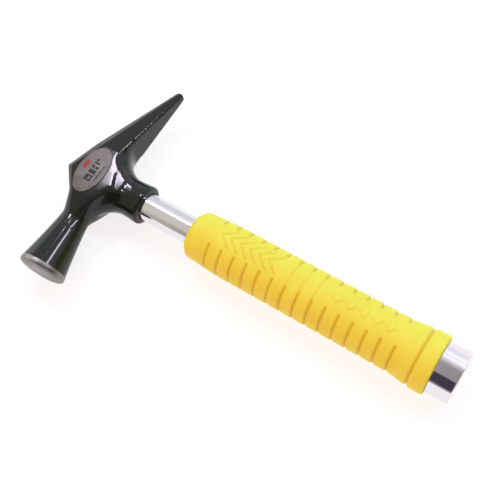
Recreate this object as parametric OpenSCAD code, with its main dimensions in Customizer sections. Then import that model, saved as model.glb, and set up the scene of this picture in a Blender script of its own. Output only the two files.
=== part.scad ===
// Hand bead breaker: a forged steel head with a round striking face and a
// blunt wedge-shaped pick, on a plated steel tube with a moulded grip.
// It lies on its side.  +X runs along the handle from the head to the butt,
// +Y points to the pick and +Z is up, square to the labelled cheek.

/* [Handle tube] */
// Outside diameter of the plated handle tube
tube_d = 19.05; // [17:0.05:20]
// Wall thickness of the handle tube
tube_wall = 2.1; // [1.5:0.1:3]
// How far the tube reaches into the head past the striking axis
tube_inset = 13; // [8:0.5:14]

/* [Head] */
// Distance from the handle axis to the striking face
face_reach = 75.8; // [72:0.2:80]
// Diameter of the striking end at its rim
face_d = 32.6; // [30:0.2:35]
// Diameter of the flat middle of the striking face
face_land_d = 25; // [20:0.5:27]
// Diameter of the waist between the cheeks and the striking end
waist_d = 19; // [17:0.5:21]
// Lean of the striking end towards the handle, in degrees
face_lean = 4; // [0:0.5:6]
// Distance from the striking axis to the ridge on top of the head
ridge_rise = 26; // [24:0.5:28]
// Position of the ridge along the head, from the handle axis
ridge_y = -4; // [-6:0.5:0]
// Thickness of the head across its cheeks
cheek_t = 28; // [27:0.5:32]
// Length of the flat part of the cheeks
cheek_len = 39; // [38:0.5:44]
// Distance from the handle axis to the tip of the pick
pick_reach = 84; // [80:0.5:90]
// Height of the pick at its tip, measured along the handle
pick_tip_h = 5.5; // [5:0.5:8]
// Width of the pick at its tip, across the cheeks
pick_tip_w = 7; // [5:0.5:9]
// Diameter of the socket collar that takes the tube
collar_d = 26.8; // [25:0.2:30]
// Distance from the striking axis to the collar's rim
collar_end = 36; // [34:0.5:44]

/* [Grip] */
// Position of the grip's front end along the handle
grip_start = 75; // [72:0.5:80]
// Position of the grip's rear end along the handle
grip_end = 251.5; // [248:0.5:256]
// Diameter of the gripped part
grip_d = 35.8; // [34:0.2:37]
// Diameter of the raised end ring
grip_ring_d = 39.6; // [38:0.1:40]
// Number of finger grooves along the grip
groove_count = 15; // [11:2:15]
// Spacing of the finger grooves
groove_pitch = 9.45; // [8.5:0.05:9.5]
// Half of the smooth side panel's arc, in degrees
panel_half = 29; // [20:1:35]
// Turn of the grip's side panels away from the cheeks, in degrees
panel_turn = 8; // [0:1:10]
// Outside diameter of the hard core under the grip
core_d = 29; // [26:0.5:31]

/* [Butt] */
// Diameter of the plated butt cap
cap_d = 34.2; // [32:0.1:35]
// Length of the butt cap that shows behind the grip
cap_len = 15.3; // [12:0.1:18]
// Diameter of the spring pin that holds the butt cap
pin_d = 4; // [3:0.5:5]

/* [Label] */
// Length of the oval cheek label, along the head
label_len = 37; // [30:0.5:37.5]
// Height of the oval cheek label, along the handle
label_h = 21; // [16:0.5:22]
// Thickness of the label foil
label_t = 0.4; // [0.3:0.1:0.8]

/* [Hidden] */
$fn = 96;

tube_r = tube_d / 2;
tube_bore_r = tube_r - tube_wall;
cheek_z = cheek_t / 2;
slice = 0.02;              // thickness of the slices that hulls join
under_cut = 1.2;           // small chamfer along the cheeks' lower edges
// Broad bevel along the top of the head: width on the cheek, depth down the side.
root_bevel = [6.5, 4];
ridge_bevel = [4.5, 3.5];
shoulder_bevel = [3.5, 3.5];
tip_bevel = [2.6, 1.8];

// The whole tool is moved so that it rests on z = 0, centred on the origin.
part_end = grip_end + cap_len;
centre_x = (part_end - ridge_rise) / 2;
face_low = face_reach * cos(face_lean) + face_land_d / 2 * sin(face_lean);
centre_y = (pick_reach - face_low) / 2;
rest_r = grip_ring_d / 2;

// Socket: the tube's end is spread over a wedge at the bottom of it.
wedge_len = 8;
wedge_nose = 4;
wedge_cut = 1.5;
socket_gap = 2;
spread = 0.5;
socket_end = -tube_inset - socket_gap;

// Neck of the striking end, as a radius along its own axis.
neck_root_x = -4.3;
waist_at = 28;
rim_at = face_reach - 3.6;
rim_step = 0.3;
rim_band = 1.2;
neck_blend = 4;
neck_steps = 14;
neck_curve = 1.3;

// Where the pick's section starts, and its upper and lower edges there.
pick_root_y = cheek_len / 2;
pick_tip_top = 3.4;
pick_root_top = -ridge_rise + (pick_tip_top + ridge_rise)
                * (pick_root_y - ridge_y) / (pick_reach - ridge_y);
pick_root_under = 3.4;
under_fillet = 22;
lower_fillet = 20;
neck_edge = 5.6;            // where the lower web leaves the neck
web_half = 6;
web_sink = 0.6;             // how far the webs' ends dip into the collar
web_back = -8;              // webs start inside the head, at this height

collar_r = collar_d / 2;
collar_root = -10;
collar_flare = 9;           // length over which the collar widens by its lip
collar_lip = 0.5;
collar_edge = 0.7;
shoulder_x = [-13.6, 7.6];  // upper and lower edge at the neck's shoulder
belly_x = 14;               // lower edge of the cheeks at the ridge

label_x = -6.4;

grip_r = grip_d / 2;
ring_r = grip_ring_d / 2;
core_r = core_d / 2;
core_start = grip_start + 6;
core_cut = 2;
spigot_len = 9;
core_end = grip_end - spigot_len;
front_round = 6;
nose_drop = 1.3;            // the front of the grip is this much slimmer
nose_blend = 6;
groove_first = 94;
groove_w = 2;
groove_deep = 0.9;
ring_len = 11;
ring_groove_x = grip_end - ring_len;
ring_groove_deep = 1.3;
flare_drop = 0.6;           // the flare ends this far below the ring
flare_gap = 3;
flare_start = groove_first + (groove_count - 1) * groove_pitch + flare_gap;
ring_edge = 1.5;
full_grooves = [6, 7, 8];   // grooves that cross the side panels too
chevron_count = 6;
chevron_first = 97.5;
chevron_pitch = 7;
chevron_w = 1.3;
chevron_run = 7.6;
chevron_half = 7;
pad_count = 5;
pad_first = 179;
pad_pitch = 9;
pad_len = 7.4;
pad_half = 4;
relief = 0.5;               // depth of chevrons and height of pads
panel_margin = 6;
cut_over = 1;               // how far cutters stand past what they cut

cap_r = cap_d / 2;
cap_wall = 3;
cap_edge = 1;
pin_x = grip_end - spigot_len / 2;
pin_gap = 0.3;              // how far the pin's ends stay under the spigot

function neck_r(s) = s < waist_at ? waist_d / 2
    : waist_d / 2 + (face_d / 2 - waist_d / 2)
      * pow((s - waist_at) / (rim_at - waist_at), neck_curve);

function arc(cx, cy, r, a0, a1, n) =
    [for (i = [0:n]) [cx + r * cos(a0 + (a1 - a0) * i / n),
                      cy + r * sin(a0 + (a1 - a0) * i / n)]];

module in_place() {
    translate([-centre_x, -centre_y, rest_r]) children();
}

// Turns a profile of [position along the handle, radius] about the handle.
module along_handle(profile) {
    rotate([90, 0, 90])
        rotate_extrude()
            polygon([for (p = profile) [p[1], p[0]]]);
}

// Thin eight-sided slice across the head, from x0 to x1 and half_z either way.
module head_slice(y, x0, x1, half_z, bevel) {
    translate([0, y, 0])
        rotate([90, 0, 0])
            linear_extrude(slice)
                polygon([[x0 + bevel[0], -half_z], [x1 - under_cut, -half_z],
                         [x1, -half_z + under_cut], [x1, half_z - under_cut],
                         [x1 - under_cut, half_z], [x0 + bevel[0], half_z],
                         [x0, half_z - bevel[1]], [x0, -half_z + bevel[1]]]);
}

module root_slice() {
    head_slice(pick_root_y, pick_root_top, pick_root_under, cheek_z, root_bevel);
}

module shoulder_slice() {
    head_slice(-cheek_len / 2, shoulder_x[0], shoulder_x[1], cheek_z, shoulder_bevel);
}

module cheek_block() {
    hull() {
        root_slice();
        head_slice(ridge_y, -ridge_rise, belly_x, cheek_z, ridge_bevel);
        shoulder_slice();
    }
}

module pick() {
    hull() {
        root_slice();
        head_slice(pick_reach, pick_tip_top, pick_tip_top + pick_tip_h,
                   pick_tip_w / 2, tip_bevel);
    }
}

// Blends the cheeks into the round neck.
module neck_shoulder() {
    hull() {
        shoulder_slice();
        striking_axis()
            translate([0, 0, waist_at + neck_blend]) cylinder(d = waist_d, h = slice);
    }
}

// Places a shape whose +Z runs out along the striking end.
module striking_axis() {
    translate([neck_root_x, 0, 0]) rotate([0, 0, face_lean]) rotate([90, 0, 0]) children();
}

module striking_end() {
    step = (rim_at - waist_at) / neck_steps;
    flare = [for (i = [0:neck_steps]) [neck_r(waist_at + i * step), waist_at + i * step]];
    striking_axis()
        rotate_extrude()
            polygon(concat([[0, 0], [waist_d / 2, 0]], flare,
                           [[face_d / 2 - rim_step, rim_at + rim_band], [face_land_d / 2, face_reach],
                            [0, face_reach]]));
}

module collar() {
    rim_r = collar_r + collar_lip;
    along_handle([[collar_root, 0], [collar_root, collar_r], [collar_end - collar_flare, collar_r],
                  [collar_end - collar_edge, rim_r], [collar_end, rim_r - collar_edge],
                  [collar_end, 0]]);
}

// Curved web under the pick and the one beside the neck.
module fillet_webs() {
    top_y = collar_r - web_sink + under_fillet;
    low_y = collar_r - web_sink + lower_fillet;
    top_x = pick_root_under + under_fillet;
    low_x = neck_edge + lower_fillet;
    translate([0, 0, -web_half])
        linear_extrude(2 * web_half) {
            polygon(concat(arc(top_x, top_y, under_fillet, 180, 270, 10),
                           [[top_x, 0], [web_back, 0], [web_back, top_y]]));
            polygon(concat(arc(low_x, -low_y, lower_fillet, 180, 90, 10),
                           [[low_x, 0], [web_back, 0], [web_back, -low_y]]));
        }
}

// Socket bore, spread at the bottom to match the tube's end.
module socket() {
    along_handle([[socket_end, 0], [socket_end, tube_r + spread], [-tube_inset, tube_r + spread],
                  [-tube_inset + wedge_len, tube_r], [collar_end + cut_over, tube_r],
                  [collar_end + cut_over, 0]]);
}

module hammer_head() {
    color([0.13, 0.14, 0.12])
        in_place()
            difference() {
                union() {
                    cheek_block();
                    pick();
                    neck_shoulder();
                    striking_end();
                    collar();
                    fillet_webs();
                }
                socket();
            }
}

module cheek_label() {
    color([0.72, 0.70, 0.67])
        in_place()
            translate([label_x, 0, cheek_z])
                linear_extrude(label_t)
                    polygon([for (i = [0:5:355]) [label_h / 2 * cos(i), label_len / 2 * sin(i)]]);
}

module handle_tube() {
    tube_stop = part_end - cap_wall;
    color([0.80, 0.80, 0.83])
        in_place()
            difference() {
                along_handle([[-tube_inset, tube_bore_r + spread], [-tube_inset, tube_r + spread],
                              [-tube_inset + wedge_len, tube_r], [tube_stop, tube_r],
                              [tube_stop, tube_bore_r], [-tube_inset + wedge_len, tube_bore_r]]);
                pin_hole();
            }
}

module head_wedge() {
    wedge_tip = -tube_inset + wedge_len + wedge_nose;
    color([0.45, 0.45, 0.47])
        in_place()
            along_handle([[socket_end, 0], [socket_end, tube_bore_r + spread],
                          [-tube_inset, tube_bore_r + spread],
                          [-tube_inset + wedge_len, tube_bore_r],
                          [wedge_tip, tube_bore_r - wedge_cut], [wedge_tip, 0]]);
}

module grip_core() {
    color([0.20, 0.20, 0.21])
        in_place()
            along_handle([[core_start, tube_r], [core_start, core_r - core_cut],
                          [core_start + core_cut, core_r], [core_end, core_r], [core_end, tube_r]]);
}

// Grip outline without its grooves.
module grip_body() {
    front_r = grip_r - nose_drop;
    groove_r = ring_r - ring_groove_deep;
    along_handle(concat(
        [[grip_start, tube_r]],
        arc(grip_start + front_round, front_r - front_round, front_round, 180, 90, 8),
        [[groove_first + nose_blend, grip_r], [flare_start, grip_r],
         [ring_groove_x - groove_w, ring_r - flare_drop], [ring_groove_x - groove_w / 2, groove_r],
         [ring_groove_x + groove_w / 2, groove_r], [ring_groove_x + groove_w, ring_r]],
        [[grip_end - ring_edge, ring_r], [grip_end, ring_r - ring_edge],
         [grip_end, core_r], [core_start + core_cut, core_r], [core_start, core_r - core_cut],
         [core_start, tube_r]]));
}

// One groove cutter, as a ring about the handle.
module groove_ring(x) {
    floor_r = grip_r - groove_deep;
    along_handle([[x - groove_w / 2, grip_r + cut_over], [x - groove_w / 3, floor_r],
                  [x + groove_w / 3, floor_r], [x + groove_w / 2, grip_r + cut_over]]);
}

// Sector of the side panels, on both sides of the grip.
module panel_sectors() {
    far = 2 * grip_r;
    spread_y = far * tan(panel_half);
    for (side = [0, 180])
        rotate([side - panel_turn, 0, 0])
            translate([grip_start, 0, 0])
                rotate([90, 0, 90])
                    linear_extrude(grip_end - grip_start)
                        polygon([[0, 0], [spread_y, far], [-spread_y, far]]);
}

module groove_cuts() {
    last = groove_count - 1;
    difference() {
        union() {
            for (i = [0:last])
                if (len(search(i, full_grooves)) == 0) groove_ring(groove_first + i * groove_pitch);
        }
        panel_sectors();
    }
    for (i = full_grooves) groove_ring(groove_first + i * groove_pitch);
}

// Chevron outline with its point towards the head.
module chevron(x) {
    polygon([[x, 0], [x + chevron_run, chevron_half], [x + chevron_run + chevron_w, chevron_half],
             [x + chevron_w, 0], [x + chevron_run + chevron_w, -chevron_half],
             [x + chevron_run, -chevron_half]]);
}

module pad(x) {
    polygon([[x, 0], [x + pad_len / 2, pad_half], [x + pad_len, 0], [x + pad_len / 2, -pad_half]]);
}

// Carries flat shapes onto both side panels, between two radii.
module on_panels(r0, r1) {
    intersection() {
        along_handle([[groove_first, r0], [groove_first, r1],
                      [ring_groove_x - panel_margin, r1], [ring_groove_x - panel_margin, r0]]);
        for (side = [0, 180])
            rotate([side - panel_turn, 0, 0])
                linear_extrude(2 * grip_r) children();
    }
}

module grip_sleeve() {
    color([0.93, 0.88, 0.22])
        in_place() {
            difference() {
                grip_body();
                groove_cuts();
                on_panels(grip_r - relief, grip_r + cut_over)
                    for (i = [0:chevron_count - 1]) chevron(chevron_first + i * chevron_pitch);
            }
            on_panels(grip_r - relief, grip_r + relief)
                for (i = [0:pad_count - 1]) pad(pad_first + i * pad_pitch);
        }
}

module pin_hole() {
    translate([pin_x, 0, -core_r]) cylinder(d = pin_d, h = core_d);
}

module butt_cap() {
    color([0.80, 0.80, 0.83])
        in_place()
            difference() {
                along_handle([[core_end, tube_r], [core_end, core_r], [grip_end, core_r],
                              [grip_end, cap_r], [part_end - cap_edge, cap_r],
                              [part_end, cap_r - cap_edge], [part_end, 0],
                              [part_end - cap_wall, 0], [part_end - cap_wall, tube_r]]);
                pin_hole();
            }
}

module butt_pin() {
    color([0.55, 0.55, 0.57])
        in_place()
            intersection() {
                pin_hole();
                along_handle([[core_end, 0], [core_end, core_r - pin_gap],
                              [grip_end, core_r - pin_gap], [grip_end, 0]]);
            }
}

hammer_head();
cheek_label();
handle_tube();
head_wedge();
grip_core();
grip_sleeve();
butt_cap();
butt_pin();
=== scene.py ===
# Hand bead breaker lying on its side: forged head, oval label, plated tube, ribbed grip, plated butt.
# Shapes are worked out in millimetres from the striking axis, then placed in the frame in metres.
import math

import bmesh
import bpy
from mathutils import Matrix, Vector


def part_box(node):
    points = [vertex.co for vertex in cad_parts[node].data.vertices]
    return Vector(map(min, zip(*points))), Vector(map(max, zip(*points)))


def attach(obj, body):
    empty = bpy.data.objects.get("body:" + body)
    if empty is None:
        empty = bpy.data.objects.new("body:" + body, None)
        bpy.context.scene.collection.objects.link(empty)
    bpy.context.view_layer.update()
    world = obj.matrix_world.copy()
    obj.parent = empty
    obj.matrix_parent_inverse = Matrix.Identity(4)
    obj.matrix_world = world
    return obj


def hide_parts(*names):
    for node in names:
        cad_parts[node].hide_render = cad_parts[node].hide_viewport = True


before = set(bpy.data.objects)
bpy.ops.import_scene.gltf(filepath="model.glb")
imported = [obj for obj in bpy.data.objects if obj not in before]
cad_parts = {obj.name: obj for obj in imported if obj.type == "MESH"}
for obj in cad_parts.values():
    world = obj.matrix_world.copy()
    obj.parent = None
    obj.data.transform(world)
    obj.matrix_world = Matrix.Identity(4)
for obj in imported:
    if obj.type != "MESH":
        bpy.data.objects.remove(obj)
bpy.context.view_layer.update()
print("frame loaded")


# where the tool lies
ridgeRise = 26.0
gripLow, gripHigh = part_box("grip_sleeve")
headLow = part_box("hammer_head")[0]
handleMid = (Vector(gripLow) + Vector(gripHigh)) / 2
strikeX = headLow[0] + ridgeRise / 1000
toFrame = Matrix.Translation((strikeX, handleMid[1], handleMid[2])) @ Matrix.Scale(0.001, 4)


def inMetres(x, y, z):
    return tuple(toFrame @ Vector((x, y, z)))


# shader sums written as plain expressions
class Wire:
    def __init__(self, board, socket):
        self.board = board
        self.socket = socket

    def maths(self, operation, *others):
        values = dict(enumerate([self, *others]))
        return self.board.add("ShaderNodeMath", {"operation": operation}, values)

    def __add__(self, other):
        return self.maths("ADD", other)

    def __radd__(self, other):
        return self.maths("ADD", other)

    def __sub__(self, other):
        return self.maths("SUBTRACT", other)

    def __rsub__(self, other):
        return (self * -1.0).maths("ADD", other)

    def __mul__(self, other):
        return self.maths("MULTIPLY", other)

    def __rmul__(self, other):
        return self.maths("MULTIPLY", other)

    def __truediv__(self, other):
        return self.maths("DIVIDE", other)

    def __abs__(self):
        return self.maths("ABSOLUTE")

    def power(self, other):
        return self.maths("POWER", other)

    def most(self, other):
        return self.maths("MAXIMUM", other)

    def ramp(self, start, end, low=0.0, high=1.0):
        # smooth step of this value between start and end
        settings = {"interpolation_type": "SMOOTHSTEP"}
        values = {0: self, 1: start, 2: end, 3: low, 4: high}
        return self.board.add("ShaderNodeMapRange", settings, values)


class Board:
    # the nodes of one material or of the world
    def __init__(self, tree):
        self.tree = tree
        tree.nodes.clear()

    def add(self, kind, settings=None, sockets=None, out=0):
        node = self.tree.nodes.new(kind)
        for key, value in (settings or {}).items():
            setattr(node, key, value)
        for key, value in (sockets or {}).items():
            if isinstance(value, Wire):
                self.tree.links.new(value.socket, node.inputs[key])
            else:
                node.inputs[key].default_value = value
        return Wire(self, node.outputs[out]) if node.outputs else None

    def place(self):
        return self.add("ShaderNodeTexCoord", out="Object")

    def split(self, vector):
        node = self.add("ShaderNodeSeparateXYZ", None, {0: vector}).socket.node
        return [Wire(self, output) for output in node.outputs]

    def vector(self, operation, first, second, out=0):
        return self.add("ShaderNodeVectorMath", {"operation": operation}, {0: first, 1: second}, out)

    def noise(self, vector, size, detail):
        # size is the width of one blotch in millimetres
        values = {"Vector": vector, "Scale": 1000 / size, "Detail": detail, "Roughness": 0.5}
        return self.add("ShaderNodeTexNoise", None, values)

    def colours(self, share, first, second):
        values = {0: share, 6: first, 7: second}
        return self.add("ShaderNodeMix", {"data_type": "RGBA"}, values, 2)

    def bump(self, height, depth, strength, normal=None):
        # depth is in millimetres
        values = {"Height": height, "Distance": depth / 1000, "Strength": strength}
        if normal:
            values["Normal"] = normal
        return self.add("ShaderNodeBump", None, values)

    def surface(self, sockets):
        shader = self.add("ShaderNodeBsdfPrincipled", None, sockets)
        self.add("ShaderNodeOutputMaterial", None, {"Surface": shader})


def newMaterial(name):
    material = bpy.data.materials.new(name)
    material.use_nodes = True
    return material, Board(material.node_tree)


def rgb(red, green, blue):
    return (red, green, blue, 1.0)


# helpers that build meshes
def smoothStep(value, start, end):
    share = min(1.0, max(0.0, (value - start) / (end - start)))
    return share * share * (3 - 2 * share)


def turned(bm, profile, segments, matrix=None):
    # spins a profile of (distance along X, radius) round X
    before = set(bm.verts)
    corners = [bm.verts.new((along, 0, radius)) for along, radius in profile]
    chain = [bm.edges.new(pair) for pair in zip(corners, corners[1:])]
    bmesh.ops.spin(bm, geom=corners + chain, cent=(0, 0, 0), axis=(1, 0, 0), angle=math.tau,
                   steps=segments, use_merge=True)
    fresh = [vert for vert in bm.verts if vert not in before]
    bmesh.ops.remove_doubles(bm, verts=fresh, dist=0.0005)
    if matrix is not None:
        fresh = [vert for vert in bm.verts if vert not in before]
        bmesh.ops.transform(bm, matrix=matrix, verts=fresh)


def hull(bm, points):
    corners = [bm.verts.new(point) for point in points]
    made = bmesh.ops.convex_hull(bm, input=corners)
    spare = [item for item in made["geom_interior"] if isinstance(item, bmesh.types.BMVert)]
    bmesh.ops.delete(bm, geom=spare, context="VERTS")


def arc(centreAlong, centreOut, radius, start, end, steps):
    turns = [math.radians(start + (end - start) * step / steps) for step in range(steps + 1)]
    return [(centreAlong + radius * math.cos(turn), centreOut + radius * math.sin(turn))
            for turn in turns]


def newPiece(bm, name, materials):
    mesh = bpy.data.meshes.new(name)
    bm.to_mesh(mesh)
    bm.free()
    for material in materials:
        mesh.materials.append(material)
    piece = bpy.data.objects.new(name, mesh)
    bpy.context.scene.collection.objects.link(piece)
    return piece


def applyModifiers(piece):
    depsgraph = bpy.context.evaluated_depsgraph_get()
    mesh = bpy.data.meshes.new_from_object(piece.evaluated_get(depsgraph))
    old = piece.data
    piece.modifiers.clear()
    piece.data = mesh
    bpy.data.meshes.remove(old)


def settle(piece, sharpAngle, node):
    # last step of every piece: into the frame, smooth shading, riding on the tool
    piece.data.transform(toFrame)
    piece.data.shade_smooth()
    if sharpAngle:
        piece.data.set_sharp_from_angle(angle=math.radians(sharpAngle))
    piece.data.update()
    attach(piece, "root")
    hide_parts(node)


# the camera
view = {
    "place": (0.15649, -0.14578, 0.50921),
    "turn": (23.487, 6.622, 32.644),
    "lens": 59.76,
}


def makeCamera():
    data = bpy.data.cameras.new("camera")
    data.lens = view["lens"]
    camera = bpy.data.objects.new("camera", data)
    camera.location = view["place"]
    camera.rotation_euler = [math.radians(angle) for angle in view["turn"]]
    bpy.context.scene.collection.objects.link(camera)
    bpy.context.scene.camera = camera


# floor and light
studio = {
    "floorSize": 8.0,
    "floorShade": 0.24,
    "floorGlow": 0.80,
    "floorRough": 0.9,
    "boxTint": (0.91, 0.82, 1.0),
}

# name, middle, width along X and Y, power; every box hangs level and faces down
softboxes = [
    ("windowBox", (-0.715, 0.455, 1.30), (0.25, 0.19), 5.6),
    ("neckBox", (-0.17, 0.604, 1.28), (0.10, 0.05), 0.55),
    ("flareBox", (0.70, 0.645, 0.97), (0.70, 0.07), 4.6),
]

# name, place, width and height, power, colour, the point it faces
fillLights = [
    ("topLight", (-0.2, 0.8, 1.5), (1.2, 1.2), 6.2, (0.66, 0.84, 1.0), (0, 0, 0)),
    ("warmFill", (-0.15, -1.1, 0.6), (1.2, 0.8), 5.6, (1.0, 0.42, 0.16), (0.05, 0, 0)),
]

# the room that the polished parts mirror, each colour with where it fades in along X and Y
room = {
    "overhead": ((0.72, 0.67, 0.62), (0.36, 0.33, 0.32)),
    "overheadX": (-0.45, 0.05),
    "pickSide": (0.98, 0.96, 1.04),
    "pickSideY": (0.05, 0.60),
    "strip": (1.22, 1.20, 1.28),
    "stripX": (-0.35, -0.15),
    "stripY": ((0.48, 0.56), (0.66, 0.70), (0.71, 0.76), (0.86, 0.93)),
    "corner": (0.80, 0.79, 0.84),
    "cornerX": (-0.15, -0.45),
    "cornerY": (0.55, 0.75),
    "ridgeWall": (1.60, 1.57, 1.60),
    "ridgeWallX": (-0.72, -0.86),
    "beyondButt": (0.10, 0.10, 0.11),
    "beyondButtX": (0.72, 0.86),
    "lowTan": (0.52, 0.47, 0.37),
    "lowTanX": (0.0, -0.3),
    "lowTanY": (-0.60, -0.90),
    "flag": (0.060, 0.052, 0.078),
    "flagWay": (0.02, -0.875, 0.485),
    "flagEdge": (26.0, 18.0),
    "diffuse": ((0.66, 0.34, 0.27), (0.66, 0.76, 0.86)),
    "diffuseY": (-0.6, 0.5),
    "backdrop": (0.88, 0.88, 0.89),
}


def makeFloor():
    bm = bmesh.new()
    bmesh.ops.create_grid(bm, x_segments=1, y_segments=1, size=studio["floorSize"] / 2)
    material, board = newMaterial("paleFloor")
    shade = studio["floorShade"]
    board.surface({"Base Color": rgb(shade, shade, shade), "Roughness": studio["floorRough"],
                   "Specular IOR Level": 0.0,
                   "Emission Color": rgb(1, 1, 1), "Emission Strength": studio["floorGlow"]})
    floor = newPiece(bm, "floor", [material])


def areaLight(name, place, size, power, colour, target, inGloss=True):
    data = bpy.data.lights.new(name, "AREA")
    data.shape = "RECTANGLE"
    data.size = size[0]
    data.size_y = size[1]
    data.energy = power
    data.color = colour
    light = bpy.data.objects.new(name, data)
    light.location = place
    way = Vector(target) - Vector(place)
    light.rotation_euler = way.to_track_quat("-Z", "Y").to_euler()
    light.visible_glossy = inGloss
    bpy.context.scene.collection.objects.link(light)


def makeLights():
    for name, middle, size, power in softboxes:
        below = Vector(middle) - Vector((0, 0, 1))
        areaLight(name, middle, size, power, studio["boxTint"], below)
    # the fills light the tool without showing in its polished parts
    for name, place, size, power, colour, target in fillLights:
        areaLight(name, place, size, power, colour, target, False)


def makeWorld():
    world = bpy.data.worlds.new("studioRoom")
    world.use_nodes = True
    bpy.context.scene.world = world
    board = Board(world.node_tree)
    way = board.add("ShaderNodeTexCoord", out="Generated")
    way = board.vector("NORMALIZE", way, (0, 0, 0))
    x, y, z = board.split(way)
    # bright on the pick's side, dimmer overhead
    first, second = room["overhead"]
    overhead = board.colours(x.ramp(*room["overheadX"]), rgb(*first), rgb(*second))
    shown = board.colours(y.ramp(*room["pickSideY"]), overhead, rgb(*room["pickSide"]))
    # two brighter strips on the handle's side of the room, with a thin gap between them
    rise, fall, riseAgain, fallAgain = [y.ramp(*fade) for fade in room["stripY"]]
    strips = rise - fall + riseAgain - fallAgain
    shown = board.colours(strips * x.ramp(*room["stripX"]), shown, rgb(*room["strip"]))
    corner = x.ramp(*room["cornerX"]) * y.ramp(*room["cornerY"])
    shown = board.colours(corner, shown, rgb(*room["corner"]))
    # a bright wall behind the ridge, dark beyond the butt, tan low on the striking side
    shown = board.colours(x.ramp(*room["ridgeWallX"]), shown, rgb(*room["ridgeWall"]))
    shown = board.colours(x.ramp(*room["beyondButtX"]), shown, rgb(*room["beyondButt"]))
    lowTan = y.ramp(*room["lowTanY"]) * x.ramp(*room["lowTanX"])
    shown = board.colours(lowTan, shown, rgb(*room["lowTan"]))
    # a round dark flag on the striking side
    flagWay = tuple(Vector(room["flagWay"]).normalized())
    near = board.vector("DOT_PRODUCT", way, flagWay, "Value")
    outer, inner = [math.cos(math.radians(angle)) for angle in room["flagEdge"]]
    shown = board.colours(near.ramp(outer, inner), shown, rgb(*room["flag"]))
    # matt surfaces get a plain warm to cool change, and the backdrop is plain
    low, high = room["diffuse"]
    soft = board.add("ShaderNodeLightPath", out="Is Diffuse Ray")
    plain = board.colours(y.ramp(*room["diffuseY"]), rgb(*low), rgb(*high))
    shown = board.colours(soft, shown, plain)
    seen = board.add("ShaderNodeLightPath", out="Is Camera Ray")
    shown = board.colours(seen, shown, rgb(*room["backdrop"]))
    glow = board.add("ShaderNodeBackground", None, {"Color": shown, "Strength": 1.0})
    board.add("ShaderNodeOutputWorld", None, {"Surface": glow})


makeCamera()
makeFloor()
makeLights()
makeWorld()
bpy.context.scene.view_settings.view_transform = "Standard"
print("camera, floor and light made")


# the forged head
head = {
    "voxel": 0.5,
    "cheekHalf": 14.0,
    "topBevel": (6.5, 4.0),
    "ridgeBevel": (4.5, 3.5),
    "shoulderBevel": (3.5, 3.5),
    "tipBevel": (2.6, 1.8),
    "underCut": 1.2,
    "ridge": (-26.0, -4.0),
    "rootY": 19.5,
    "rootUnder": 3.4,
    "tipY": 83.9,
    "tipTop": 3.4,
    "tipUnder": 8.9,
    "tipHalf": 3.5,
    "belly": 14.0,
    "shoulderY": -19.5,
    "shoulder": (-13.6, 7.6),
    # how far past the waist's start the shoulder reaches, and the corners of its ring
    "shoulderRing": (4.0, 32),
    "neckRoot": -4.3,
    "lean": 4.0,
    "waist": 9.5,
    "waistAt": 28.0,
    "rim": 16.3,
    "rimAt": 72.2,
    "faceAt": 75.8,
    # round the ground face: distance behind it and distance inside the rim
    "crown": [(2.1, 0.0), (1.3, 0.5), (0.35, 2.6), (0.0, 5.8)],
    "curve": 1.3,
    "flareSteps": 24,
    "groundFrom": 70.8,
    "collar": 13.3,
    "collarEnd": 36.0,
    # outline of the collar: distance before its end and change of radius
    "collarSwell": [(46.0, 0.0), (16.0, -0.2), (9.0, 0.0), (0.9, 0.5), (0.0, -0.5)],
    "turnSteps": 96,
    "neckUnder": 5.6,
    # reach of each web, half its width at the bar, how far its edge rounds over
    "pickWeb": (22.0, 11.3, 1.6),
    "neckWeb": (20.0, 9.0, 5.0),
    "webSink": 0.6,
    "webBack": 9.0,
    "webInset": 0.2,
    "webBlend": (0.05, 0.92),
    "webSteps": 14,
    "webAcross": 16,
    "tongueRoot": (4.0, -12.0, 15.0),
    "tongueBack": 10.0,
    "tongueEnd": 19.0,
    "tongueHalf": 6.5,
    "socket": 9.6,
    "socketFrom": 2.0,
    # where the mouth starts to open, where it ends, how much wider it is
    "socketMouth": (0.8, 1.0, 0.7),
    "socketSteps": 128,
    # smoothing rounds for all of it, the painted part, the neck, the webs, the painted part again
    "rounds": (3, 4, 45, 40, 3),
    "paintTo": 69.0,
    "neckZone": (14.0, 42.0, 30.0),
    "webZoneX": (2.0, 27.0),
    "webZoneY": (5.0, 34.0),
}


def strikingMatrix():
    # takes a shape turned about X to the leaned axis of the striking end
    turn = Matrix.Rotation(math.radians(head["lean"] - 90), 4, "Z")
    return Matrix.Translation((head["neckRoot"], 0, 0)) @ turn


def neckRadius(along):
    if along < head["waistAt"]:
        return head["waist"]
    share = (along - head["waistAt"]) / (head["rimAt"] - head["waistAt"])
    return head["waist"] + (head["rim"] - head["waist"]) * share ** head["curve"]


def crossSlice(y, low, high, half, bevel):
    # eight corners of a flat section across the head, with a broad bevel along its top
    broad, deep = bevel
    cut = head["underCut"]
    return [(low + broad, y, -half), (high - cut, y, -half), (high, y, -half + cut),
            (high, y, half - cut), (high - cut, y, half), (low + broad, y, half),
            (low, y, half - deep), (low, y, -half + deep)]


def pickTopAt(y):
    ridgeX, ridgeY = head["ridge"]
    return ridgeX + (head["tipTop"] - ridgeX) * (y - ridgeY) / (head["tipY"] - ridgeY)


def addStrikingEnd(bm):
    steps = head["flareSteps"]
    span = head["rimAt"] - head["waistAt"]
    stations = [head["waistAt"] + span * step / steps for step in range(steps + 1)]
    flare = [(station, neckRadius(station)) for station in stations]
    face, rim = head["faceAt"], head["rim"]
    crown = [(face - back, rim - inside) for back, inside in head["crown"]] + [(face, 0)]
    turned(bm, [(0, 0), (0, head["waist"])] + flare + crown, head["turnSteps"], strikingMatrix())


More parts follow.
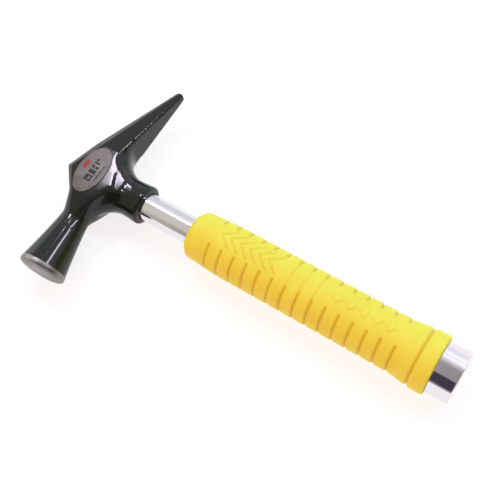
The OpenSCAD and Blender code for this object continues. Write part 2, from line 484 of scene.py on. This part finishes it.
def addCheeksAndPick(bm):
    half = head["cheekHalf"]
    rootY, lowY = head["rootY"], head["shoulderY"]
    ridgeX, ridgeY = head["ridge"]
    root = crossSlice(rootY, pickTopAt(rootY), head["rootUnder"], half, head["topBevel"])
    middle = crossSlice(ridgeY, ridgeX, head["belly"], half, head["ridgeBevel"])
    low = crossSlice(lowY, *head["shoulder"], half, head["shoulderBevel"])
    tip = crossSlice(head["tipY"], head["tipTop"], head["tipUnder"], head["tipHalf"], head["tipBevel"])
    hull(bm, root + middle + low)
    hull(bm, root + tip)
    # the shoulder runs into a ring round the neck
    toNeck = strikingMatrix()
    past, corners = head["shoulderRing"]
    along, radius = head["waistAt"] + past, head["waist"]
    turns = [math.tau * step / corners for step in range(corners)]
    ring = [toNeck @ Vector((along, radius * math.cos(turn), radius * math.sin(turn)))
            for turn in turns]
    hull(bm, low + ring)


def addCollar(bm):
    half, collar, back = head["cheekHalf"], head["collar"], head["tongueBack"]
    outline = [(head["collarEnd"] - before, collar + change) for before, change in head["collarSwell"]]
    first, last = outline[0][0], outline[-1][0]
    turned(bm, [(first, 0)] + outline + [(last, 0)], head["turnSteps"])
    # flat tongue that carries the cheek out over the collar
    rootX, rootLow, rootHigh = head["tongueRoot"]
    root = [(rootX, y, z) for y in (rootLow, rootHigh) for z in (-half, half)]
    end = [(head["tongueEnd"], y, z) for y in (-head["tongueHalf"], head["tongueHalf"])
           for z in (-collar, collar)]
    hull(bm, root + end + [(0, y, z) for y in (-back, back) for z in (-half, half)])


def addWeb(bm, side, rootX, reach, rootHalf, flatCut):
    # curved web from the bar (side +1 the pick, -1 the neck) to the round collar
    steps, across, deep = head["webSteps"], head["webAcross"], reach + head["webBack"]
    collar = head["collar"]
    centreX = rootX + reach
    centreY = collar - head["webSink"] + reach
    rows = []
    for step in range(steps + 1):
        share = step / steps
        turn = math.radians(180 + 90 * share)
        blend = smoothStep(share, *head["webBlend"])
        half = rootHalf + (collar - head["webInset"] - rootHalf) * blend
        row = []
        for place in range(across + 1):
            z = half * (2 * place / across - 1)
            roundDrop = collar - math.sqrt(max(0, collar ** 2 - z ** 2))
            edgeDrop = max(0, abs(z) - (rootHalf - flatCut))
            row.append((reach + roundDrop * blend + edgeDrop * (1 - blend), z))
        row += [(deep, half), (deep, -half)]
        rows.append([(centreX + out * math.cos(turn), side * (centreY + out * math.sin(turn)), z)
                     for out, z in row])
    for first, second in zip(rows, rows[1:]):
        hull(bm, first + second)


def smoothBand(bm, rounds, keep):
    chosen = [vert for vert in bm.verts if keep(vert.co)]
    for _ in range(rounds):
        bmesh.ops.smooth_vert(bm, verts=chosen, factor=0.5,
                              use_axis_x=True, use_axis_y=True, use_axis_z=True)


def makeHead(materials):
    bm = bmesh.new()
    addStrikingEnd(bm)
    addCheeksAndPick(bm)
    addCollar(bm)
    addWeb(bm, 1, head["rootUnder"], *head["pickWeb"])
    addWeb(bm, -1, head["neckUnder"], *head["neckWeb"])
    bmesh.ops.recalc_face_normals(bm, faces=bm.faces)
    piece = newPiece(bm, "forgedHead", materials)
    remesh = piece.modifiers.new("remesh", "REMESH")
    remesh.mode = "VOXEL"
    remesh.voxel_size = head["voxel"]
    applyModifiers(piece)

    lean = math.radians(head["lean"])
    way = Vector((math.sin(lean), -math.cos(lean), 0))
    root = Vector((head["neckRoot"], 0, 0))
    bm = bmesh.new()
    bm.from_mesh(piece.data)

    def everywhere(co):
        return True

    def painted(co):
        return (co - root).dot(way) < head["paintTo"]

    def onNeck(co):
        start, end, farX = head["neckZone"]
        return start < (co - root).dot(way) < end and co.x < farX

    def onWebs(co):
        lowX, highX = head["webZoneX"]
        lowY, highY = head["webZoneY"]
        beforeFlare = (co - root).dot(way) < head["neckZone"][1]
        return lowX < co.x < highX and lowY < abs(co.y) < highY and beforeFlare

    for rounds, keep in zip(head["rounds"], [everywhere, painted, onNeck, onWebs, painted]):
        smoothBand(bm, rounds, keep)
    bm.to_mesh(piece.data)
    bm.free()
    cutSocket(piece)
    settle(piece, 35, "hammer_head")
    return piece


def cutSocket(piece):
    # bore for the tube, opened a little at its mouth
    bm = bmesh.new()
    radius, bottom, end = head["socket"], head["socketFrom"], head["collarEnd"]
    inside, outside, wider = head["socketMouth"]
    turned(bm, [(bottom, 0), (bottom, radius), (end - inside, radius),
                (end + outside, radius + wider), (end + outside, 0)], head["socketSteps"])
    bmesh.ops.recalc_face_normals(bm, faces=bm.faces)
    cutter = newPiece(bm, "socketCutter", [])
    cut = piece.modifiers.new("socket", "BOOLEAN")
    cut.operation = "DIFFERENCE"
    cut.solver = "MANIFOLD"
    cut.object = cutter
    applyModifiers(piece)
    mesh = cutter.data
    bpy.data.objects.remove(cutter)
    bpy.data.meshes.remove(mesh)


# black lacquer, and the bare ground steel of the face
paint = {
    "black": ((0.006, 0.011, 0.007), (0.011, 0.015, 0.010)),
    "steel": ((0.31, 0.31, 0.30), (0.205, 0.20, 0.19)),
    "blotchSize": 9,
    "fineSize": 1.4,
    "speckSize": 0.5,
    "waveSize": 12,
    "edgeSoft": 0.15,
    "edgeWander": 0.5,
    "gloss": 1.40,
}


def headPaint():
    material, board = newMaterial("blackLacquer")
    here = board.place()
    lean = math.radians(head["lean"])
    root = inMetres(head["neckRoot"], 0, 0)
    way = (math.sin(lean), -math.cos(lean), 0)
    reach = board.vector("DOT_PRODUCT", here, way, "Value") - Vector(root).dot(Vector(way))
    reach = reach * 1000
    blotch = board.noise(here, paint["blotchSize"], 3)
    fine = board.noise(here, paint["fineSize"], 3)
    speck = board.noise(here, paint["speckSize"], 2)
    start, soft = head["groundFrom"], paint["edgeSoft"]
    bare = (reach + (fine - 0.5) * paint["edgeWander"]).ramp(start - soft, start + soft)
    black = board.colours(blotch.ramp(0.45, 0.75), *[rgb(*tone) for tone in paint["black"]])
    steel = board.colours(blotch.ramp(0.35, 0.7), *[rgb(*tone) for tone in paint["steel"]])
    colour = board.colours(bare, black, steel)
    rough = 0.05 + blotch * 0.06 + speck.ramp(0.60, 0.75) * 0.05
    rough = rough * (1 - bare) + (0.36 + fine * 0.16) * bare
    skin = board.bump(board.noise(here, paint["waveSize"], 1), 0.05, 0.30)
    skin = board.bump(speck * (0.03 + 0.97 * bare), 0.05, 0.6, skin)
    board.surface({"Base Color": colour, "Metallic": bare, "Roughness": rough, "Normal": skin,
                   "IOR": paint["gloss"]})
    return material


forgedHead = makeHead([headPaint()])
print("head made", len(forgedHead.data.polygons))


# the oval label
label = {
    "middle": (-6.4, 0.0),
    "length": 37.0,
    "height": 21.0,
    "thick": 0.38,
    "edge": 0.18,
    "sink": 0.12,
    "segments": 128,
    # printed blocks: middle along Y and X, half length along Y and X
    "redBlock": (1.6, -6.2, 3.2, 1.5),
    "openBlock": ((-6.4, 1.0, 2.3, 2.6), (-6.4, 1.6, 1.2, 0.8)),
    "blocks": [(-1.4, 1.0, 1.5, 2.6), (2.2, -0.6, 1.0, 1.0), (2.2, 2.4, 1.0, 1.2),
               (5.4, 0.6, 0.7, 2.2), (7.6, -0.6, 0.9, 0.9), (-0.5, 6.2, 6.5, 0.35)],
    "blockSoft": 0.15,
    # where the painted shade round the label's edge fades in
    "edgeShadeFade": (0.93, 0.97),
    "foil": ((0.165, 0.155, 0.143), (0.122, 0.114, 0.106)),
    "red": (0.30, 0.045, 0.035),
    "ink": (0.022, 0.032, 0.022),
    # colour of the painted shade round the label's edge
    "edgeShadeTone": (0.03, 0.03, 0.028),
    "metal": 0.75,
    "gloss": 1.28,
}


def makeLabel(materials):
    bm = bmesh.new()
    bmesh.ops.create_circle(bm, cap_ends=True, radius=0.5, segments=label["segments"])
    bmesh.ops.scale(bm, vec=(label["height"], label["length"], 1), verts=bm.verts)
    made = bmesh.ops.extrude_face_region(bm, geom=bm.faces[:])
    top = [item for item in made["geom"] if isinstance(item, bmesh.types.BMVert)]
    bmesh.ops.translate(bm, vec=(0, 0, label["thick"] + label["sink"]), verts=top)
    bmesh.ops.recalc_face_normals(bm, faces=bm.faces)
    high = label["thick"] / 2
    rim = [edge for edge in bm.edges if all(vert.co.z > high for vert in edge.verts)]
    bmesh.ops.bevel(bm, geom=rim, offset=label["edge"], offset_type="OFFSET", affect="EDGES",
                    segments=3, profile=0.5, material=-1)
    lift = head["cheekHalf"] - label["sink"]
    bmesh.ops.translate(bm, vec=(*label["middle"], lift), verts=bm.verts)
    piece = newPiece(bm, "ovalLabel", materials)
    settle(piece, 30, "cheek_label")


def labelFoil():
    material, board = newMaterial("satinFoil")
    here = board.place()
    middle = inMetres(*label["middle"], 0)
    x, y, z = board.split(board.vector("SUBTRACT", here, middle))
    across = x * 1000
    along = y * 1000
    halfA, halfB = label["height"] / 2, label["length"] / 2
    ring = (across / halfA).power(2) + (along / halfB).power(2)
    # painted shade round the label's edge
    rim = ring.ramp(*label["edgeShadeFade"])
    soft = label["blockSoft"]

    def block(centreAlong, centreAcross, halfLong, halfHigh):
        inLong = abs(along - centreAlong).ramp(halfLong - soft, halfLong + soft, 1.0, 0.0)
        inHigh = abs(across - centreAcross).ramp(halfHigh - soft, halfHigh + soft, 1.0, 0.0)
        return inLong * inHigh

    red = block(*label["redBlock"])
    outer, hole = label["openBlock"]
    marks = block(*outer) - block(*hole)
    for place in label["blocks"]:
        marks = marks.most(block(*place))
    grain = board.noise(board.vector("MULTIPLY", here, (1.0, 0.12, 1.0)), 0.35, 3)
    cloud = board.noise(here, 6, 2)
    foil = board.colours(cloud.ramp(0.3, 0.75), *[rgb(*tone) for tone in label["foil"]])
    printed = board.colours(red, foil, rgb(*label["red"]))
    printed = board.colours(marks, printed, rgb(*label["ink"]))
    # the last step paints shade round the label's edge
    printed = board.colours(rim, printed, rgb(*label["edgeShadeTone"]))
    # besides the print, ink here takes in the painted edge shade, which is not metallic
    ink = red.most(marks).most(rim)
    board.surface({"Base Color": printed, "Metallic": label["metal"] * (1 - ink),
                   "Roughness": 0.38 + grain * 0.16, "IOR": label["gloss"],
                   "Normal": board.bump(grain, 0.02, 0.5)})
    return material


makeLabel([labelFoil()])
print("label made")


# plated tube and butt cap
tube = {
    "radius": 9.525,
    "bore": 7.425,
    "start": -13.0,
    "spread": 0.5,
    "spreadEnd": -5.0,
    "rings": (38.0, 72.0),
    "end": 263.8,
    "segments": 160,
}

cap = {
    "radius": 17.1,
    "start": 251.5,
    "end": 266.8,
    "edge": 1.0,
    "edgeSteps": 6,
    "wall": 3.0,
    "spigot": 9.0,
    "spigotRadius": 14.5,
    "frontBevel": 0.4,
    "dish": 0.5,
    "dishRadius": 12.6,
    "dishSlope": 0.6,
    "segments": 192,
}

# tint is the cleaner tone; the other tone comes through in soft smears
plate = {
    "tubeTint": (0.81, 0.80, 0.83),
    "capTint": (0.81, 0.80, 0.84),
    "smear": (0.78, 0.77, 0.80),
    "smearSize": 8,
    "hairSize": 0.25,
    "waveSize": 14,
}


def makeTube(materials):
    bm = bmesh.new()
    out, bore, spread = tube["radius"], tube["bore"], tube["spread"]
    mouth = (tube["start"], bore + spread)
    stations = (tube["spreadEnd"], *tube["rings"], tube["end"])
    outside = [(tube["start"], out + spread)] + [(along, out) for along in stations]
    inside = [(tube["end"], bore), (tube["spreadEnd"], bore)]
    turned(bm, [mouth] + outside + inside + [mouth], tube["segments"])
    bmesh.ops.recalc_face_normals(bm, faces=bm.faces)
    piece = newPiece(bm, "platedTube", materials)
    settle(piece, 30, "handle_tube")


def makeCap(materials):
    bm = bmesh.new()
    radius, start, end, edge = cap["radius"], cap["start"], cap["end"], cap["edge"]
    front, bore, bevel = start - cap["spigot"], tube["radius"], cap["frontBevel"]
    rim = arc(end - edge, radius - edge, edge, 90, 0, cap["edgeSteps"])
    dish = [(end, cap["dishRadius"] + cap["dishSlope"]), (end - cap["dish"], cap["dishRadius"]),
            (end - cap["dish"], 0)]
    inside = [(end - cap["wall"], 0), (end - cap["wall"], bore), (front, bore)]
    body = [(front, cap["spigotRadius"]), (start, cap["spigotRadius"]),
            (start, radius - bevel), (start + bevel, radius)]
    turned(bm, inside + body + rim + dish, cap["segments"])
    bmesh.ops.recalc_face_normals(bm, faces=bm.faces)
    piece = newPiece(bm, "platedCap", materials)
    settle(piece, 30, "butt_cap")


def plating(name, tint):
    material, board = newMaterial(name)
    here = board.place()
    smear = board.noise(here, plate["smearSize"], 3)
    # fine hairlines run along the handle
    hair = board.noise(board.vector("MULTIPLY", here, (0.06, 1.0, 1.0)), plate["hairSize"], 2)
    rough = 0.05 + smear.ramp(0.45, 0.8) * 0.07 + hair.ramp(0.62, 0.8) * 0.05
    colour = board.colours(smear, rgb(*tint), rgb(*plate["smear"]))
    skin = board.bump(hair, 0.002, 0.3)
    skin = board.bump(board.noise(here, plate["waveSize"], 1), 0.02, 0.12, skin)
    board.surface({"Base Color": colour, "Metallic": 1.0, "Roughness": rough, "Normal": skin})
    return material


makeTube([plating("tubePlating", plate["tubeTint"])])
makeCap([plating("capPlating", plate["capTint"])])
print("plated tube and cap made")


# the ribbed grip
grip = {
    "start": 75.0,
    "end": 251.5,
    "radius": 17.9,
    "ring": 19.79,
    "nose": 6.0,
    "noseSteps": 14,
    "noseDrop": 1.3,
    "fullAt": 104.0,
    "flareFrom": 229.3,
    # how far before the ring groove and below the ring the flare ends
    "flareStop": (1.6, 0.6),
    "flareBlend": (-0.15, 1.1),
    "flareSteps": 12,
    "ringGroove": 240.5,
    # shape of the ring groove: distance along from its middle, depth below the ring
    "ringDip": [(-1.0, 0.9), (-0.6, 1.35), (0.0, 1.5), (0.6, 1.35),
                (1.0, 0.7), (1.5, 0.15), (2.1, 0.0)],
    # where the painted shade inside the ring groove fades out, measured from its middle
    "ringShade": (0.4, 1.2),
    "ringFlat": (4.0, 6.0),
    "ringEdge": 1.5,
    "edgeSteps": 8,
    "edgeLand": 0.6,
    "core": 14.5,
    "coreFrom": 81.0,
    "coreSlope": 2.0,
    "lip": 0.6,
    "grooves": 15,
    "firstGroove": 94.0,
    "pitch": 9.45,
    "grooveHalf": 1.5,
    "grooveDepth": 0.95,
    "grooveFloor": 0.1,
    "grooveEnds": (-2.0, 3.0),
    "grooveRings": 5,
    "landRings": 11,
    "through": (6, 7, 8),
    "throughDepth": 0.4,
    "panelHalf": 29.0,
    "panelTurn": 8.0,
    "chevrons": 6,
    "firstChevron": 98.2,
    "chevronPitch": 7.0,
    "chevronRun": 7.6,
    "chevronHalf": 7.0,
    "chevronEdge": (0.3, 1.15),
    "pads": 5,
    "firstPad": 179.0,
    "padPitch": 9.0,
    "padLength": 7.4,
    "padHalf": 4.0,
    "padEdge": (0.82, 1.06),
    "relief": 0.5,
    # painted shade round the foot of each pad: its strength, then where it rises and falls across the
    # pad's outline
    "padShade": 0.3,
    "padShadeRise": (0.85, 1.02),
    "padShadeFall": (1.12, 1.35),
    "stationGap": 0.4,
    "segments": 224,
    "cloudSize": 16,
    "grainSize": 0.45,
    "yellow": ((0.755, 0.735, 0.060), (0.735, 0.685, 0.050)),
    # colour of the painted shade in the grooves, the ring groove, the chevrons and round the pads
    "paintedShade": (0.66, 0.48, 0.03),
    "gloss": 1.42,
}


def chevronDip(x, across):
    # depth of the nested chevrons at a point of the side panel
    nearest = math.inf
    length = math.hypot(grip["chevronRun"], grip["chevronHalf"])
    wayX, wayY = grip["chevronRun"] / length, grip["chevronHalf"] / length
    for index in range(grip["chevrons"]):
        fromX = x - (grip["firstChevron"] + index * grip["chevronPitch"])
        along = min(length, max(0.0, fromX * wayX + abs(across) * wayY))
        nearest = min(nearest, math.hypot(fromX - along * wayX, abs(across) - along * wayY))
    return grip["relief"] * (1 - smoothStep(nearest, *grip["chevronEdge"]))


def padSpread(x, across):
    # 1 on the outline of the nearest pad, less inside it
    first = grip["firstPad"] + grip["padLength"] / 2
    index = min(grip["pads"] - 1, max(0, round((x - first) / grip["padPitch"])))
    middle = first + index * grip["padPitch"]
    return abs(x - middle) / (grip["padLength"] / 2) + abs(across) / grip["padHalf"]


def padRise(x, across):
    return grip["relief"] * (1 - smoothStep(padSpread(x, across), *grip["padEdge"]))


def padShade(x, across):
    # painted shade round the foot of each pad
    spread = padSpread(x, across)
    rise = smoothStep(spread, *grip["padShadeRise"])
    fall = smoothStep(spread, *grip["padShadeFall"])
    return grip["padShade"] * rise * (1 - fall)


def grooveDip(x, offPanel):
    index = round((x - grip["firstGroove"]) / grip["pitch"])
    if index < 0 or index >= grip["grooves"]:
        return 0.0
    off = abs(x - grip["firstGroove"] - index * grip["pitch"])
    shape = 1 - smoothStep(off, grip["grooveFloor"], grip["grooveHalf"])
    ends = smoothStep(offPanel, *grip["grooveEnds"])
    if index in grip["through"]:
        least = grip["throughDepth"] / grip["grooveDepth"]
        ends = least + (1 - least) * ends
    return grip["grooveDepth"] * shape * ends


def gripRelief(x, y, z):
    # change of radius at a point of the grip, and how much painted shade the point gets
    turn = math.degrees(math.atan2(y, z)) - grip["panelTurn"]
    turn = (turn + 90) % 180 - 90
    across = grip["radius"] * math.sin(math.radians(turn))
    dip = grooveDip(x, abs(turn) - grip["panelHalf"])
    if abs(turn) >= grip["panelHalf"]:
        return -dip, dip / grip["grooveDepth"]
    dip += chevronDip(x, across)
    # painted shade: deeper grooves and chevrons get darker, and so does the foot of each pad
    shadeAmount = dip / grip["grooveDepth"] + padShade(x, across)
    return padRise(x, across) - dip, shadeAmount


def gripStations():
    # places of the rings along the plain stretch, closer together at each groove
    stations = set()
    half = grip["grooveHalf"]
    rings, between = grip["grooveRings"], grip["landRings"]
    near = [half * step / rings for step in range(-rings, rings + 1)]
    land = grip["pitch"] - 2 * half
    for index in range(-1, grip["grooves"]):
        middle = grip["firstGroove"] + index * grip["pitch"]
        for off in near:
            stations.add(round(middle + off, 4))
        for step in range(1, between):
            stations.add(round(middle + half + land * step / between, 4))
    gap = grip["stationGap"]
    low, high = grip["start"] + grip["nose"] + gap, grip["flareFrom"] - gap
    return sorted(station for station in stations if low < station < high)


def gripProfile():
    start, end, full = grip["start"], grip["end"], grip["radius"]
    nose, noseRadius = grip["nose"], full - grip["noseDrop"]
    ring, groove, edge = grip["ring"], grip["ringGroove"], grip["ringEdge"]
    core, coreFrom, slope = grip["core"], grip["coreFrom"], grip["coreSlope"]
    bore = tube["radius"]

    def bodyRadius(x):
        return noseRadius + grip["noseDrop"] * smoothStep(x, start + nose, grip["fullAt"])

    front = arc(start + nose, noseRadius - nose, nose, 180, 90, grip["noseSteps"])
    body = [(x, bodyRadius(x)) for x in gripStations()]
    before, below = grip["flareStop"]
    flare = []
    for step in range(grip["flareSteps"] + 1):
        share = step / grip["flareSteps"]
        x = grip["flareFrom"] + (groove - before - grip["flareFrom"]) * share
        rise = (ring - below - full) * smoothStep(share, *grip["flareBlend"])
        flare.append((x, full + rise))
    dip = [(groove + off, ring - deep) for off, deep in grip["ringDip"]]
    flat = [(groove + off, ring) for off in grip["ringFlat"]]
    flat.append((end - edge - grip["edgeLand"], ring))
    back = arc(end - edge, ring - edge, edge, 90, 0, grip["edgeSteps"])
    inside = [(end, core), (coreFrom + slope, core), (coreFrom, core - slope),
              (coreFrom, bore), (start, bore)]
    lip = [(start, bore + grip["lip"])]
    return inside + lip + front + body + flare + dip + flat + back + inside[:1]


def makeGrip(materials):
    bm = bmesh.new()
    turned(bm, gripProfile(), grip["segments"])
    bmesh.ops.recalc_face_normals(bm, faces=bm.faces)
    # the dip attribute holds painted shade: darker in the grooves, the ring groove, the chevrons and
    # round the pads
    paintedShade = bm.verts.layers.float.new("dip")
    outside = grip["core"] + 1
    for vert in bm.verts:
        radius = math.hypot(vert.co.y, vert.co.z)
        if radius < outside or vert.co.x > grip["flareFrom"]:
            fromRing = abs(vert.co.x - grip["ringGroove"])
            # painted shade inside the ring groove
            vert[paintedShade] = (1 - smoothStep(fromRing, *grip["ringShade"])) if radius > outside else 0
            continue
        change, vert[paintedShade] = gripRelief(*vert.co)
        scale = (radius + change) / radius
        vert.co.y *= scale
        vert.co.z *= scale
    piece = newPiece(bm, "ribbedGrip", materials)
    settle(piece, 50, "grip_sleeve")
    return piece


def gripRubber():
    material, board = newMaterial("yellowRubber")
    here = board.place()
    dip = board.add("ShaderNodeAttribute", {"attribute_name": "dip"}, None, "Fac")
    cloud = board.noise(here, grip["cloudSize"], 3)
    grain = board.noise(here, grip["grainSize"], 3)
    yellow = board.colours(cloud.ramp(0.3, 0.7), *[rgb(*tone) for tone in grip["yellow"]])
    # painted shade: the yellow turns to the shade colour where the dip attribute is high
    yellow = board.colours(dip.ramp(0.02, 1.1), yellow, rgb(*grip["paintedShade"]))
    rough = 0.50 + cloud * 0.10 + grain.ramp(0.5, 0.8) * 0.10
    skin = board.bump(grain, 0.05, 0.5)
    board.surface({"Base Color": yellow, "Roughness": rough, "Normal": skin,
                   "IOR": grip["gloss"]})
    return material


ribbedGrip = makeGrip([gripRubber()])
print("grip made", len(ribbedGrip.data.polygons))


# inner parts, kept as they are and given their own finish
inner = {
    "steel": ((0.50, 0.50, 0.52), (0.38, 0.37, 0.38)),
    "plastic": ((0.035, 0.035, 0.038), (0.060, 0.060, 0.065)),
}


def machinedSteel():
    material, board = newMaterial("machinedSteel")
    here = board.place()
    lines = board.noise(board.vector("MULTIPLY", here, (1.0, 0.1, 0.1)), 0.3, 2)
    blotch = board.noise(here, 5, 3)
    colour = board.colours(blotch, *[rgb(*tone) for tone in inner["steel"]])
    board.surface({"Base Color": colour, "Metallic": 1.0, "Roughness": 0.28 + lines * 0.2,
                   "Normal": board.bump(lines, 0.02, 0.6)})
    return material


def corePlastic():
    material, board = newMaterial("corePlastic")
    here = board.place()
    grain = board.noise(here, 0.8, 3)
    blotch = board.noise(here, 12, 2)
    colour = board.colours(blotch, *[rgb(*tone) for tone in inner["plastic"]])
    board.surface({"Base Color": colour, "Roughness": 0.5 + grain * 0.2,
                   "Normal": board.bump(grain, 0.04, 0.5)})
    return material


def dress(node, material):
    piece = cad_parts[node]
    if not piece.material_slots:
        piece.data.materials.append(material)
    for slot in piece.material_slots:
        slot.material = material


steel = machinedSteel()
dress("head_wedge", steel)
dress("butt_pin", steel)
dress("grip_core", corePlastic())
print("inner parts finished")
